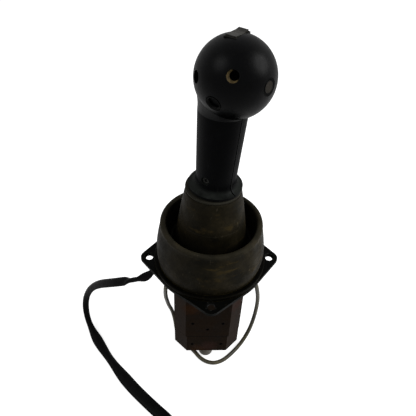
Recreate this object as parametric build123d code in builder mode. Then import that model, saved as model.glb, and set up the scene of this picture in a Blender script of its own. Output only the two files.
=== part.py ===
"""Hydraulic pilot joystick valve with four pressure-reducing cartridges under a spring-centred lever.

The origin is the centre of the mounting flange's underside. +Z points up the lever, and the four flange
holes lie on X and Y. All sizes are in millimetres.
"""
from build123d import *
from math import cos, radians, sin, sqrt, tan
import os

os.makedirs("parts", exist_ok=True)

# ---------------------------------------------------------------- clearances
slip = 0.05        # radial running fit of shafts and plungers
gap = 0.3          # air between neighbours that move past each other
loose = 0.2        # radial air of screws and spigots in plain holes

# ---------------------------------------------------------------- mounting flange, valve body and port block
flange_t = 3.0
body_w = 70.6
bolt_margin = 14.4
bolt_spacing = body_w + bolt_margin      # side of the square of mounting holes
bolt_circle_r = bolt_spacing / sqrt(2)
bolt_hole_r = 3.6
bolt_chamfer = 1.0
ear_r = 8.5
body_chamfer = 12.1
body_h = 84.9
port_h = 27.9
port_chamfer = 13.4
bottom_z = -body_h - port_h
plug_r = 1.4
plug_depth = 6.0
plug_recess = 1.0

# ---------------------------------------------------------------- cartridges under the four sides of the disc
cartridge_r = 22.0                       # circle on which the four plungers stand
chamber_r = 9.0
chamber_floor = -50.0
spool_r = 3.5
spool_groove_r = 2.4
guide_r = 6.5
guide_lip_r = 7.8
guide_lip_t = 1.5
guide_foot = -6.0
plunger_r = 4.0
collar_r = 8.2
collar_top = -16.0
collar_t = 3.0
spigot_r = 2.4
spigot_end = -22.0
spool_top = -36.0
spool_end = -80.0
spool_head_r = 5.0
spool_head_t = 2.0
return_wire = 1.7
metering_wire = 1.0
seal_t = 2.0

# ---------------------------------------------------------------- guide plate and universal joint
plate_t = 8.0
plate_top = flange_t + plate_t
screw_circle_r = 33.0
screw_r = 3.0
screw_head_r = 5.0
screw_head_h = 6.0
pivot_z = 22.0                           # height of both lever axes
joint_r = 11.0
joint_stud_r = 7.0
joint_stud_end = -12.0
arm_in = 6.5                             # inner faces of the fork and yoke arms
arm_out = 10.5
arm_half_w = 4.0
pin_r = 2.5
spider_half = arm_in - gap
base_t = 3.0
yoke_rise = 8.2                          # from the lever axes to the underside of the yoke's floor
yoke_floor = pivot_z + yoke_rise
yoke_t = 3.3
stud_r = 6.0
stud_top = 52.0

# ---------------------------------------------------------------- actuating disc, rod and nuts
disc_r = 27.0
disc_gap = 0.5                           # play between the disc and the plunger tips
disc_floor = pivot_z + plunger_r + disc_gap
disc_recess_r = 14.5
disc_rim_t = 6.0
disc_web_t = 4.5
disc_web_z = yoke_floor + yoke_t
nut_af = 19.0
nut_t = 6.0
sleeve_z = disc_web_z + disc_web_t + nut_t
rod_bend_z = 60.0                        # the rod is cranked here
rake = 2.0                               # degrees that the handle leans to +X
rod_r = 6.0

# ---------------------------------------------------------------- handle: heights from the bend, along it
handle_azimuth = -35.0                   # way that the handle's front looks, from -Y towards +X
spigot_low = 24.0
neck_spigot_r = 17.0
collar_low = 35.6
collar_high = 37.6
foot_r = 23.7
foot_fillet = 6.0
neck_foot_r = 17.4
neck_top_r = 19.8
neck_top = 107.5
neck_bore_foot = 13.6
neck_bore_top = 16.4
web_low = (26.0, 34.0)                   # lower and upper webs that hold the rod
web_high = (62.0, 68.0)
lever_nut_t = 7.0
neck_screw_h = 49.0
neck_screw_r = 1.75
neck_screw_head_r = 3.3
neck_screw_recess_r = 3.8
neck_screw_seat = 11.0                   # distance of the screw head's seat from the handle's axis
neck_screw_end = 2.0                     # the screw's tip stops this far from the rod's axis
neck_screw_head_t = 2.0

# ---------------------------------------------------------------- ball head
ball_r = 30.0
ball_wall = 3.0
ball_h = 135.0
ball_side = 7.0                          # offset of the ball from the neck's axis, towards the seam
chin_h = 5.0                             # the chin leaves the ball this far under its centre
ball_spigot_t = 2.7
ball_spigot_h = 6.0
hole_left = (-71.4, 5.1)                 # azimuth from -Y, elevation
hole_mid = (-10.5, 23.9)
button_right = (45.6, 6.4)
button_low = (-34.5, -19.1)
empty_hole_r = 4.5
sleeve_r = 4.7
sleeve_wall = 0.4
sleeve_len = 9.0
side_hole_r = 6.4
side_cap_r = 4.7
side_cap_sink = 0.6
low_hole_r = 6.2
low_cap_r = 4.2
low_cap_sink = 2.6
cap_t = 1.6
button_travel = 1.2
stem_r = 2.0
stem_len = 3.0
switch_len = 15.0
barrel_sink = 0.9
rocker_w = 10.0
rocker_l = 20.0
rocker_wall = 0.9
rocker_side = 3.7                        # centre of the switch from the neck's axis, towards the seam
rocker_back = 1.5
rocker_depth = 14.0
rocker_well = 6.5
rocker_rise = -0.9                        # rim of the housing, from the crown of the ball
rocker_pin_r = 1.0
rocker_pin_drop = 2.6
rocker_paddle_l = 17.0
paddle_front_top = 0.0
paddle_waist_top = -0.7
paddle_back_top = 0.5
paddle_drop = 4.0

# ---------------------------------------------------------------- rubber boot
boot_t = 2.4
foot_clear = 12.2                        # the grommets stand in this space beside the valve body
boot_foot_w = 4.5
boot_foot_t = 2.0
boot_foot_in = body_w / 2 + foot_clear
boot_foot_r = boot_foot_in + boot_foot_w
boot_wall_in = 1.0
boot_wall_r = boot_foot_r - boot_wall_in  # middle of the wall where the cup is widest
boot_wall_z = 13.0
boot_wall_lean = 1.1                     # the wall has drawn in this much at the next height
boot_wall_mid_z = 32.0
boot_rim_r = 45.0
boot_rim_z = 52.0
boot_roll = 1.3                          # radius of the rolled rim, to the middle of the wall
trough_r = 37.4
trough_z = 32.5
trough_roll = 4.0
cone_low = (31.3, 45.0)                  # radius and height of two points on the cone
cone_mid = (28.8, 63.0)
cone_top_r = 23.4
cone_top_z = 92.5
ring_wall = 3.0
ring_grip = 1.4                          # how far the ring's lip reaches over the boot's foot
ring_r = boot_foot_r + ring_wall
ring_in = boot_foot_r - ring_grip
ring_lip_t = 1.6
flange_land = 0.5
flange_disc_r = ring_r + flange_land
boot_lip_in = 19.0
boot_lip_r = 24.9
boot_lip_t = 3.0
boot_lip_top = 94.4

# ---------------------------------------------------------------- port fittings
fitting_thread_r = 6.5
fitting_thread_l = 11.0
fitting_af = 17.0
fitting_hex_t = 6.0
nipple_r = 8.0
fitting_drop = 20.7                      # from the block to the nipple's end
nipple_round = 1.5
washer_t = 1.2
washer_r = 9.2
p_port_x = 13.0
p_port_drop = 9.6                        # supply port's axis under the top of the port block
p_port_z = -body_h - p_port_drop

# ---------------------------------------------------------------- cable, harness and what they end in
floor_z = bottom_z - fitting_drop
cable_d = 4.5
cable_straight = 5.0                     # straight run out of each grommet
grommet_r = 5.0
grommet_len = 9.0
grommet_groove_r = 3.1
grommet_lip_r = 3.8
grommet_lip_t = 2.0
body_clear = 2.0                         # grommets and outlet stand this far off the valve body
grommet_x = body_w / 2 + body_clear + grommet_r
grommet_y = -8.0
harness_d = 7.0
outlet_w = 15.0
outlet_h = 13.0
outlet_len = 9.7
outlet_near = body_w / 2 + body_clear    # faces of the outlet block, as distances from the lever's axis
outlet_far = outlet_near + outlet_len
outlet_y = 7.0
outlet_seat = 2.5                         # how far the harness goes into the block
outlet_groove_r = 3.9
outlet_lip_r = 4.5
plug_w = 21.0
plug_h = 13.0
plug_len = 32.0
plug_wall = 1.8
plug_well = 11.0
contact_r = 0.8

cable_z = floor_z + cable_d / 2
harness_z = floor_z + harness_d / 2
cable_route = [
    (grommet_x, grommet_y, -grommet_len),
    (grommet_x, grommet_y, -grommet_len - cable_straight),
    (44, -7.8, -20.5),
    (50, -6.5, -31),
    (54, -4, -48),
    (56.7, -1, -66.5),
    (57, 0, -85),
    (55.5, -2, -99.5),
    (52.5, -5.5, -113),
    (48.2, -10, -122),
    (42.3, -16, cable_z + 2.5),
    (35, -23.5, cable_z),
    (26.3, -32, cable_z),
    (18, -38, cable_z),
    (9.3, -40.5, cable_z),
    (0.5, -38.8, cable_z),
    (-7, -33.5, cable_z),
    (-13.5, -24.5, cable_z),
    (-22.5, -16.5, cable_z),
    (-31, -8.8, cable_z),
    (-34.6, 2.7, cable_z + 1.2),
    (-36, 11, -126.5),
    (-38, 16.3, -120),
    (-40.5, 18.8, -112),
    (-43.6, 17, -101),
    (-45, 10, -83),
    (-46, 2, -62),
    (-45, -5.5, -40),
    (-42.8, -7.7, -23),
    (-grommet_x, grommet_y, -grommet_len - cable_straight),
    (-grommet_x, grommet_y, -grommet_len),
]
harness_route = [
    (-outlet_far + outlet_seat, outlet_y - 2, -outlet_h / 2 + 1),
    (-55.5, -0.5, -17),
    (-66, -3.5, -26),
    (-78, -1.5, -32),
    (-91, 2, -39),
    (-105, 7.5, -48),
    (-120, 16.5, -61),
    (-131, 22.5, -74),
    (-139.5, 24, -89),
    (-143, 20.5, -104),
    (-141.5, 12.5, -118),
    (-135, 1, harness_z + 2.5),
    (-122, -18.5, harness_z),
    (-103.5, -42.5, harness_z),
    (-82, -67, harness_z),
    (-57, -90, harness_z),
    (-37, -107, harness_z + 1),
    (-23, -124, floor_z + plug_h / 2),
    (-16, -141, floor_z + plug_h / 2),
]

sides = [("right", 1, 0), ("back", 0, 1), ("left", -1, 0), ("front", 0, -1)]


def cartridge_at(x, y):
    """Point on the flange plane over one cartridge."""
    return (cartridge_r * x, cartridge_r * y)


def chamfered_square(width, corner):
    """Square outline with flat corners, in the current sketch."""
    square = Rectangle(width, width)
    chamfer(square.vertices(), corner)


# ================================================================ mounting flange
plate_screw_spots = PolarLocations(screw_circle_r, 4, start_angle=45)
cartridge_spots = PolarLocations(cartridge_r, 4)
ear_spots = PolarLocations(bolt_circle_r, 4)
grommet_spots = [(grommet_x, grommet_y), (-grommet_x, grommet_y)]
outlet_middle = (outlet_near + outlet_far) / 2
first_run = Vector(*harness_route[1]) - Vector(*harness_route[0])
harness_start = Plane(harness_route[0], z_dir=first_run)

with BuildPart() as mounting_flange:
    with BuildSketch():
        Circle(flange_disc_r)
        with ear_spots:
            Circle(ear_r)
        make_hull()
    extrude(amount=flange_t)
    with ear_spots:
        Hole(bolt_hole_r)
    holes = mounting_flange.faces().sort_by(Axis.Z)[-1].inner_wires().edges()
    chamfer(holes, bolt_chamfer)
    with plate_screw_spots:
        Hole(screw_r + loose)
    with cartridge_spots:
        Hole(guide_r + loose)
    Hole(joint_stud_r + loose)
    with Locations(*grommet_spots):
        Hole(grommet_groove_r)
    with Locations((-outlet_middle, outlet_y)):
        Hole(outlet_groove_r)
mounting_flange.part.label = "mounting_flange"
export_step(mounting_flange.part, "parts/mounting_flange.step")

# ================================================================ valve body
plug_spots = [(-15.8, -61.3), (15.8, -61.3), (0, -71.9)]
p_gallery = (p_port_x, p_port_x)
gallery_r = 3.5
tapped_depth = 18.0

with BuildPart() as valve_body:
    with BuildSketch():
        chamfered_square(body_w, body_chamfer)
    extrude(amount=-body_h)
    with BuildSketch():
        with cartridge_spots:
            Circle(chamber_r)
    extrude(amount=chamber_floor, mode=Mode.SUBTRACT)
    with cartridge_spots:
        Hole(spool_r + slip)
    with BuildSketch():
        with plate_screw_spots:
            Circle(screw_r)
    extrude(amount=-tapped_depth, mode=Mode.SUBTRACT)
    with BuildSketch():
        Circle(joint_stud_r + slip)
    extrude(amount=joint_stud_end - 2, mode=Mode.SUBTRACT)
    with BuildSketch(Plane.XY.offset(-body_h)):
        Circle(gallery_r)
        with Locations(p_gallery):
            Circle(gallery_r)
    extrude(amount=body_h / 2, mode=Mode.SUBTRACT)
    with BuildSketch(Plane.XY.offset(-body_h)):
        with plate_screw_spots:
            Circle(screw_r)
    extrude(amount=tapped_depth, mode=Mode.SUBTRACT)
    with BuildSketch(Plane.XZ.offset(body_w / 2)):
        with Locations(*plug_spots):
            Circle(plug_r)
    extrude(amount=-plug_depth, mode=Mode.SUBTRACT)
valve_body.part.label = "valve_body"
export_step(valve_body.part, "parts/valve_body.step")

# ================================================================ port block
block_plug_spots = [(-15.9, -99.8), (15.9, -99.8)]
bottom_ports = [(0, 0)] + [cartridge_at(x, y) for _, x, y in sides]
seal_bed_r = 6.0
seal_bed_t = 1.4

with BuildPart() as port_block:
    with BuildSketch(Plane.XY.offset(-body_h)):
        chamfered_square(body_w, port_chamfer)
    extrude(amount=-port_h)
    with BuildSketch(Plane.XY.offset(bottom_z)):
        with Locations(*bottom_ports):
            Circle(fitting_thread_r)
    extrude(amount=fitting_thread_l + 1, mode=Mode.SUBTRACT)
    with BuildSketch(Plane.XY.offset(-body_h)):
        with Locations(*bottom_ports):
            Circle(gallery_r)
    extrude(amount=-port_h, mode=Mode.SUBTRACT)
    with BuildSketch(Plane.XY.offset(-body_h)):
        with Locations(p_gallery):
            Circle(gallery_r)
    extrude(amount=-port_h / 2, mode=Mode.SUBTRACT)
    with BuildSketch(Plane.XY.offset(-body_h)):
        with Locations(*bottom_ports, p_gallery):
            Circle(seal_bed_r)
            Circle(gallery_r, mode=Mode.SUBTRACT)
    extrude(amount=-seal_bed_t, mode=Mode.SUBTRACT)
    with BuildSketch(Plane.XZ.offset(-body_w / 2)):
        with Locations((p_port_x, p_port_z)):
            Circle(fitting_thread_r)
    extrude(amount=fitting_thread_l + 1, mode=Mode.SUBTRACT)
    with BuildSketch(Plane.XZ.offset(-body_w / 2)):
        with Locations((p_port_x, p_port_z)):
            Circle(gallery_r)
    extrude(amount=body_w / 2 - p_port_x, mode=Mode.SUBTRACT)
    with BuildSketch(Plane.XZ.offset(body_w / 2)):
        with Locations(*block_plug_spots):
            Circle(plug_r)
    extrude(amount=-plug_depth, mode=Mode.SUBTRACT)
    with BuildSketch(Plane.XY.offset(bottom_z)):
        with plate_screw_spots:
            Circle(screw_head_r + loose)
    extrude(amount=screw_head_h + loose, mode=Mode.SUBTRACT)
    with BuildSketch(Plane.XY.offset(bottom_z)):
        with plate_screw_spots:
            Circle(screw_r + loose)
    extrude(amount=port_h, mode=Mode.SUBTRACT)
port_block.part.label = "port_block"
export_step(port_block.part, "parts/port_block.step")

with BuildPart() as block_seals:
    with BuildSketch(Plane.XY.offset(-body_h)):
        with Locations(*bottom_ports, p_gallery):
            Circle(seal_bed_r)
            Circle(gallery_r + 1, mode=Mode.SUBTRACT)
    extrude(amount=-seal_bed_t)
block_seals.part.label = "block_seals"
export_step(block_seals.part, "parts/block_seals.step")

with BuildPart() as gallery_plugs:
    with BuildSketch(Plane.XZ.offset(body_w / 2 - plug_recess)):
        with Locations(*plug_spots, *block_plug_spots):
            Circle(plug_r)
    extrude(amount=-(plug_depth - plug_recess))
gallery_plugs.part.label = "gallery_plugs"
export_step(gallery_plugs.part, "parts/gallery_plugs.step")


def socket_screw(head_plane, length):
    """Socket-head screw whose head stands on head_plane and whose shank goes the other way."""
    with BuildPart() as screw:
        with BuildSketch(head_plane):
            Circle(screw_head_r)
        extrude(amount=screw_head_h)
        with BuildSketch(head_plane):
            Circle(screw_r)
        extrude(amount=-length)
        with BuildSketch(head_plane.offset(screw_head_h)):
            RegularPolygon(screw_r / 2 + 1, 6, major_radius=False)
        extrude(amount=-screw_r, mode=Mode.SUBTRACT)
    return screw.part


def screw_group(seat_z, up, length):
    """Four socket screws on the plate's screw circle; up is 1 for heads on top, -1 for heads below."""
    spots = [place.position for place in plate_screw_spots.local_locations]
    return [socket_screw(Plane((p.X, p.Y, seat_z), z_dir=(0, 0, up)), length) for p in spots]


block_screw_l = port_h - screw_head_h + tapped_depth - 4
block_screw_list = screw_group(bottom_z + screw_head_h + loose, -1, block_screw_l)

with BuildPart() as block_screws:
    add(block_screw_list)
block_screws.part.label = "block_screws"
export_step(block_screws.part, "parts/block_screws.step")

# ================================================================ guide plate, its screws, plunger guides
with BuildPart() as guide_plate:
    with BuildSketch(Plane.XY.offset(flange_t)):
        chamfered_square(body_w, body_chamfer)
    extrude(amount=plate_t)
    chamfer(guide_plate.edges().group_by(Axis.Z)[-1], 1.0)
    with cartridge_spots:
        Hole(guide_r + loose)
    Hole(joint_stud_r + loose)
    with BuildSketch(Plane.XY.offset(plate_top)):
        with plate_screw_spots:
            Circle(screw_head_r + loose)
    extrude(amount=-screw_head_h - loose, mode=Mode.SUBTRACT)
    with plate_screw_spots:
        Hole(screw_r + loose)
guide_plate.part.label = "guide_plate"
export_step(guide_plate.part, "parts/guide_plate.step")

plate_screw_list = screw_group(plate_top - screw_head_h - loose, 1, flange_t + tapped_depth - 4)

with BuildPart() as plate_screws:
    add(plate_screw_list)
plate_screws.part.label = "plate_screws"
export_step(plate_screws.part, "parts/plate_screws.step")

seal_bed = plunger_r + 1.4
with BuildPart() as plunger_guides:
    with BuildSketch(Plane.XY.offset(guide_foot)):
        with cartridge_spots:
            Circle(guide_r)
    extrude(amount=plate_top - guide_foot)
    with BuildSketch(Plane.XY.offset(plate_top)):
        with cartridge_spots:
            Circle(guide_lip_r)
    extrude(amount=guide_lip_t)
    with BuildSketch(Plane.XY.offset(guide_foot)):
        with cartridge_spots:
            Circle(plunger_r + slip)
    extrude(amount=plate_top + guide_lip_t - guide_foot, mode=Mode.SUBTRACT)
    with BuildSketch(Plane.XY.offset(plate_top + guide_lip_t)):
        with cartridge_spots:
            Circle(seal_bed)
    extrude(amount=-seal_t, mode=Mode.SUBTRACT)
plunger_guides.part.label = "plunger_guides"
export_step(plunger_guides.part, "parts/plunger_guides.step")

with BuildPart() as plunger_seals:
    with BuildSketch(Plane.XY.offset(plate_top + guide_lip_t)):
        with cartridge_spots:
            Circle(seal_bed)
            Circle(plunger_r + slip, mode=Mode.SUBTRACT)
    extrude(amount=-seal_t)
plunger_seals.part.label = "plunger_seals"
export_step(plunger_seals.part, "parts/plunger_seals.step")

# ================================================================ the four cartridges
collar_low_z = collar_top - collar_t
return_r = (collar_r + spool_head_r + loose) / 2
metering_r = (spool_head_r + spigot_r) / 2
land_h = 8.0


def spring(radius, wire, low, high, turns, centre):
    """Compression spring of square wire, standing over centre from low to high."""
    rise = high - low - wire
    with BuildPart() as coil:
        with BuildLine(Plane((centre[0], centre[1], low + wire / 2))) as path:
            Helix(pitch=rise / turns, height=rise, radius=radius)
        with BuildSketch(path.line ^ 0):
            Rectangle(wire, wire)
        sweep(is_frenet=True)
    return coil


for side, x, y in sides:
    spot = cartridge_at(x, y)
    axis_plane = Plane(origin=(spot[0], spot[1], 0), x_dir=(1, 0, 0), z_dir=(0, -1, 0))

    with BuildPart() as plunger:
        with BuildSketch(axis_plane):
            with BuildLine():
                Polyline(
                    (0, pivot_z + plunger_r),
                    (0, spigot_end),
                    (spigot_r, spigot_end),
                    (spigot_r, collar_low_z),
                    (collar_r, collar_low_z),
                    (collar_r, collar_top),
                    (plunger_r, collar_top),
                    (plunger_r, pivot_z),
                )
                CenterArc((0, pivot_z), plunger_r, 0, 90)
            make_face()
        revolve(axis=Axis((spot[0], spot[1], 0), (0, 0, 1)))
    plunger.part.label = f"plunger_{side}"
    export_step(plunger.part, f"parts/plunger_{side}.step")

    return_spring = spring(return_r, return_wire, chamber_floor, collar_low_z, 3.5, spot)
    return_spring.part.label = f"return_spring_{side}"
    export_step(return_spring.part, f"parts/return_spring_{side}.step")

    metering_spring = spring(metering_r, metering_wire, spool_top, collar_low_z, 3, spot)
    metering_spring.part.label = f"metering_spring_{side}"
    export_step(metering_spring.part, f"parts/metering_spring_{side}.step")

    with BuildPart() as spool:
        with BuildSketch(axis_plane):
            with BuildLine():
                Polyline(
                    (0, spool_top),
                    (0, spool_end),
                    (spool_r, spool_end),
                    (spool_r, spool_end + land_h),
                    (spool_groove_r, spool_end + land_h),
                    (spool_groove_r, spool_end + 2 * land_h),
                    (spool_r, spool_end + 2 * land_h),
                    (spool_r, spool_top - spool_head_t),
                    (spool_head_r, spool_top - spool_head_t),
                    (spool_head_r, spool_top),
                    close=True,
                )
            make_face()
        revolve(axis=Axis((spot[0], spot[1], 0), (0, 0, 1)))
    spool.part.label = f"spool_{side}"
    export_step(spool.part, f"parts/spool_{side}.step")

# ================================================================ universal joint
pivot = Vector(0, 0, pivot_z)

with BuildPart() as joint_base:
    with BuildSketch(Plane.XY.offset(plate_top)):
        Circle(joint_r)
    extrude(amount=base_t)
    with BuildSketch(Plane.XY.offset(plate_top)):
        Circle(joint_stud_r)
    extrude(amount=joint_stud_end - plate_top)
    with BuildSketch(Plane.YZ.offset(-arm_out)):
        with Locations((0, pivot_z)):
            Circle(arm_half_w)
        with Locations((0, (plate_top + pivot_z) / 2)):
            Rectangle(2 * arm_half_w, pivot_z - plate_top)
    extrude(amount=2 * arm_out)
    with BuildSketch(Plane.XY.offset(plate_top + base_t)):
        Rectangle(2 * arm_in, 4 * arm_half_w)
    extrude(amount=2 * arm_out, mode=Mode.SUBTRACT)
    with BuildSketch(Plane.YZ.offset(-arm_out)):
        with Locations((0, pivot_z)):
            Circle(pin_r + slip)
    extrude(amount=2 * arm_out, mode=Mode.SUBTRACT)
joint_base.part.label = "joint_base"
export_step(joint_base.part, "parts/joint_base.step")

with BuildPart() as joint_spider:
    with Locations(pivot):
        Box(2 * spider_half, 2 * spider_half, 2 * arm_half_w)
    chamfer(joint_spider.edges(), 1.5)
    with Locations(Location(pivot, (0, 90, 0)), Location(pivot, (90, 0, 0))):
        Cylinder(pin_r, 2 * arm_out)
joint_spider.part.label = "joint_spider"
export_step(joint_spider.part, "parts/joint_spider.step")

with BuildPart() as joint_yoke:
    with BuildSketch(Plane.XY.offset(yoke_floor)):
        Circle(joint_r)
    extrude(amount=yoke_t)
    with BuildSketch(Plane.XY.offset(disc_web_z)):
        Circle(stud_r)
    extrude(amount=stud_top - disc_web_z)
    with BuildSketch(Plane.XZ.offset(-arm_out)):
        with Locations((0, pivot_z)):
            Circle(arm_half_w)
        with Locations((0, (yoke_floor + pivot_z) / 2)):
            Rectangle(2 * arm_half_w, yoke_floor - pivot_z)
    extrude(amount=2 * arm_out)
    with BuildSketch(Plane.XY.offset(yoke_floor)):
        Rectangle(4 * arm_half_w, 2 * arm_in)
    extrude(amount=-2 * arm_out, mode=Mode.SUBTRACT)
    with BuildSketch(Plane.XZ.offset(-arm_out)):
        with Locations((0, pivot_z)):
            Circle(pin_r + slip)
    extrude(amount=2 * arm_out, mode=Mode.SUBTRACT)
joint_yoke.part.label = "joint_yoke"
export_step(joint_yoke.part, "parts/joint_yoke.step")

# ================================================================ actuating disc, lock nut and lever rod
with BuildPart() as actuating_disc:
    with BuildSketch(Plane.XY.offset(disc_floor)):
        Circle(disc_r)
    extrude(amount=disc_web_z + disc_web_t - disc_floor, taper=30)
    with BuildSketch(Plane.XY.offset(disc_floor)):
        Circle(disc_r)
    extrude(amount=disc_rim_t)
    with BuildSketch(Plane.XY.offset(disc_floor)):
        Circle(disc_recess_r)
    extrude(amount=disc_web_z - disc_floor, mode=Mode.SUBTRACT)
    Hole(stud_r)
actuating_disc.part.label = "actuating_disc"
export_step(actuating_disc.part, "parts/actuating_disc.step")

with BuildPart() as disc_locknut:
    with BuildSketch(Plane.XY.offset(disc_web_z + disc_web_t)):
        RegularPolygon(nut_af / 2, 6, major_radius=False)
        Circle(stud_r, mode=Mode.SUBTRACT)
    extrude(amount=nut_t)
disc_locknut.part.label = "disc_locknut"
export_step(disc_locknut.part, "parts/disc_locknut.step")

grip = Plane(
    origin=(0, 0, rod_bend_z),
    x_dir=(cos(radians(rake)), 0, -sin(radians(rake))),
    z_dir=(sin(radians(rake)), 0, cos(radians(rake))),
)
front = grip.x_dir * sin(radians(handle_azimuth)) - grip.y_dir * cos(radians(handle_azimuth))
seam = grip.z_dir.cross(front)
screw_centre = grip.from_local_coords((0, 0, neck_screw_h))
screw_plane = Plane(screw_centre, z_dir=front)
rod_len = web_high[1] + lever_nut_t + 3

with BuildPart() as lever_rod:
    with BuildSketch(Plane.XY.offset(sleeve_z)):
        RegularPolygon(nut_af / 2, 6, major_radius=False)
    extrude(amount=rod_bend_z - sleeve_z)
    with BuildSketch(Plane.XY.offset(sleeve_z)):
        Circle(stud_r)
    extrude(amount=stud_top - sleeve_z, mode=Mode.SUBTRACT)
    with BuildSketch(grip.offset(-2)):
        Circle(rod_r)
    extrude(amount=rod_len + 2)
    with BuildSketch(screw_plane.offset(neck_screw_end)):
        Circle(neck_screw_r)
    extrude(amount=rod_r, mode=Mode.SUBTRACT)
lever_rod.part.label = "lever_rod"
export_step(lever_rod.part, "parts/lever_rod.step")

with BuildPart() as lever_nut:
    with BuildSketch(grip.offset(web_high[1])):
        RegularPolygon(nut_af / 2, 6, major_radius=False)
        Circle(rod_r, mode=Mode.SUBTRACT)
    extrude(amount=lever_nut_t)
lever_nut.part.label = "lever_nut"
export_step(lever_nut.part, "parts/lever_nut.step")

# ================================================================ neck: two half shells that meet at a seam
neck_profile_plane = Plane(grip.origin, x_dir=grip.x_dir, z_dir=-grip.y_dir)
arc_top = collar_high + foot_fillet
web_r = rod_r + slip


def bore_at(height):
    """Radius of the neck's hollow at a height on the handle's axis."""
    share = (height - spigot_low) / (neck_top - spigot_low)
    return neck_bore_foot + share * (neck_bore_top - neck_bore_foot)


with BuildPart() as neck:
    with BuildSketch(neck_profile_plane):
        with BuildLine():
            Polyline(
                (bore_at(neck_top), neck_top),
                (bore_at(web_high[1]), web_high[1]),
                (web_r, web_high[1]),
                (web_r, web_high[0]),
                (bore_at(web_high[0]), web_high[0]),
                (bore_at(web_low[1]), web_low[1]),
                (web_r, web_low[1]),
                (web_r, web_low[0]),
                (bore_at(web_low[0]), web_low[0]),
                (bore_at(spigot_low), spigot_low),
                (neck_spigot_r, spigot_low),
                (neck_spigot_r, collar_low),
                (foot_r, collar_low),
                (foot_r, collar_high),
                (neck_foot_r + foot_fillet, collar_high),
            )
            RadiusArc((neck_foot_r + foot_fillet, collar_high), (neck_foot_r, arc_top), foot_fillet)
            Polyline((neck_foot_r, arc_top), (neck_top_r, neck_top), (bore_at(neck_top), neck_top))
        make_face()
    revolve(axis=Axis(grip.origin, grip.z_dir))

boss_r = 5.5

with BuildPart() as screw_boss:
    with BuildSketch(screw_plane):
        Circle(boss_r)
    extrude(amount=bore_at(neck_screw_h) + 1)
    with BuildSketch(grip.offset(web_low[1])):
        Circle(rod_r + gap)
    extrude(amount=web_high[0] - web_low[1], mode=Mode.SUBTRACT)


def half_shell(side):
    """One half of the neck: side is 1 for the front half, with the screw boss, or -1 for the rear."""
    with BuildPart() as shell:
        add(neck.part)
        split(bisect_by=Plane(grip.origin, z_dir=front * side), keep=Keep.TOP)
        if side > 0:
            add(screw_boss.part)
            with BuildSketch(screw_plane):
                Circle(neck_screw_r)
            extrude(amount=ball_r, mode=Mode.SUBTRACT)
            with BuildSketch(screw_plane.offset(neck_screw_seat)):
                Circle(neck_screw_recess_r)
            extrude(amount=ball_r, mode=Mode.SUBTRACT)
    return shell


neck_front_shell = half_shell(1)
neck_front_shell.part.label = "neck_front_shell"
export_step(neck_front_shell.part, "parts/neck_front_shell.step")

neck_rear_shell = half_shell(-1)
neck_rear_shell.part.label = "neck_rear_shell"
export_step(neck_rear_shell.part, "parts/neck_rear_shell.step")


with BuildPart() as neck_screw:
    with BuildSketch(screw_plane.offset(neck_screw_seat)):
        Circle(neck_screw_head_r)
    extrude(amount=neck_screw_head_t)
    fillet(neck_screw.edges().sort_by(Axis(screw_centre, front))[-1], neck_screw_head_t / 2)
    with BuildSketch(screw_plane.offset(neck_screw_seat)):
        Circle(neck_screw_r)
    extrude(amount=neck_screw_end - neck_screw_seat)
neck_screw.part.label = "neck_screw"
export_step(neck_screw.part, "parts/neck_screw.step")

# ================================================================ ball head
ball_centre = grip.from_local_coords((0, 0, ball_h)) + seam * ball_side
ball_level = Plane(ball_centre, x_dir=seam, z_dir=grip.z_dir)
inner_r = ball_r - ball_wall
ball_spigot_r = bore_at(neck_top - ball_spigot_h) - slip
rocker_crown = grip.from_local_coords((0, 0, ball_h + ball_r)) + seam * rocker_side - front * rocker_back
rocker_level = Plane(rocker_crown, x_dir=seam, z_dir=grip.z_dir)


def facing(azimuth, elevation):
    """Plane through the ball's centre whose normal points the given way on the handle."""
    level = grip.x_dir * sin(radians(azimuth)) - grip.y_dir * cos(radians(azimuth))
    way = level * cos(radians(elevation)) + grip.z_dir * sin(radians(elevation))
    return Plane(ball_centre, z_dir=way)


with BuildPart() as ball_shell:
    with Locations(ball_centre):
        Sphere(ball_r)
    with BuildSketch(grip.offset(neck_top)):
        Circle(neck_top_r)
    with BuildSketch(ball_level.offset(-chin_h)):
        Circle(sqrt(ball_r**2 - chin_h**2))
    loft()
    split(bisect_by=grip.offset(neck_top), keep=Keep.TOP)
    with BuildSketch(grip.offset(neck_top)):
        Circle(ball_spigot_r)
    extrude(amount=-ball_spigot_h)
    with Locations(ball_centre):
        Sphere(inner_r, mode=Mode.SUBTRACT)
    with BuildSketch(grip.offset(neck_top - ball_spigot_h)):
        Circle(ball_spigot_r - ball_spigot_t)
    extrude(amount=ball_spigot_h + ball_wall + 2, mode=Mode.SUBTRACT)
    for way, hole_r in (
        (hole_left, empty_hole_r),
        (hole_mid, sleeve_r + slip),
        (button_right, side_hole_r),
        (button_low, low_hole_r),
    ):
        with BuildSketch(facing(*way).offset(ball_r / 2)):
            Circle(hole_r)
        extrude(amount=ball_r, mode=Mode.SUBTRACT)
    with BuildSketch(rocker_level.offset(-rocker_depth)):
        Rectangle(rocker_w + 2 * slip, rocker_l + 2 * slip)
    extrude(amount=ball_r, mode=Mode.SUBTRACT)
ball_shell.part.label = "ball_shell"
export_step(ball_shell.part, "parts/ball_shell.step")

with BuildPart() as button_sleeve:
    with BuildSketch(facing(*hole_mid).offset(ball_r - barrel_sink)):
        Circle(sleeve_r)
        Circle(sleeve_r - sleeve_wall, mode=Mode.SUBTRACT)
    extrude(amount=-sleeve_len)
button_sleeve.part.label = "button_sleeve"
export_step(button_sleeve.part, "parts/button_sleeve.step")


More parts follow.
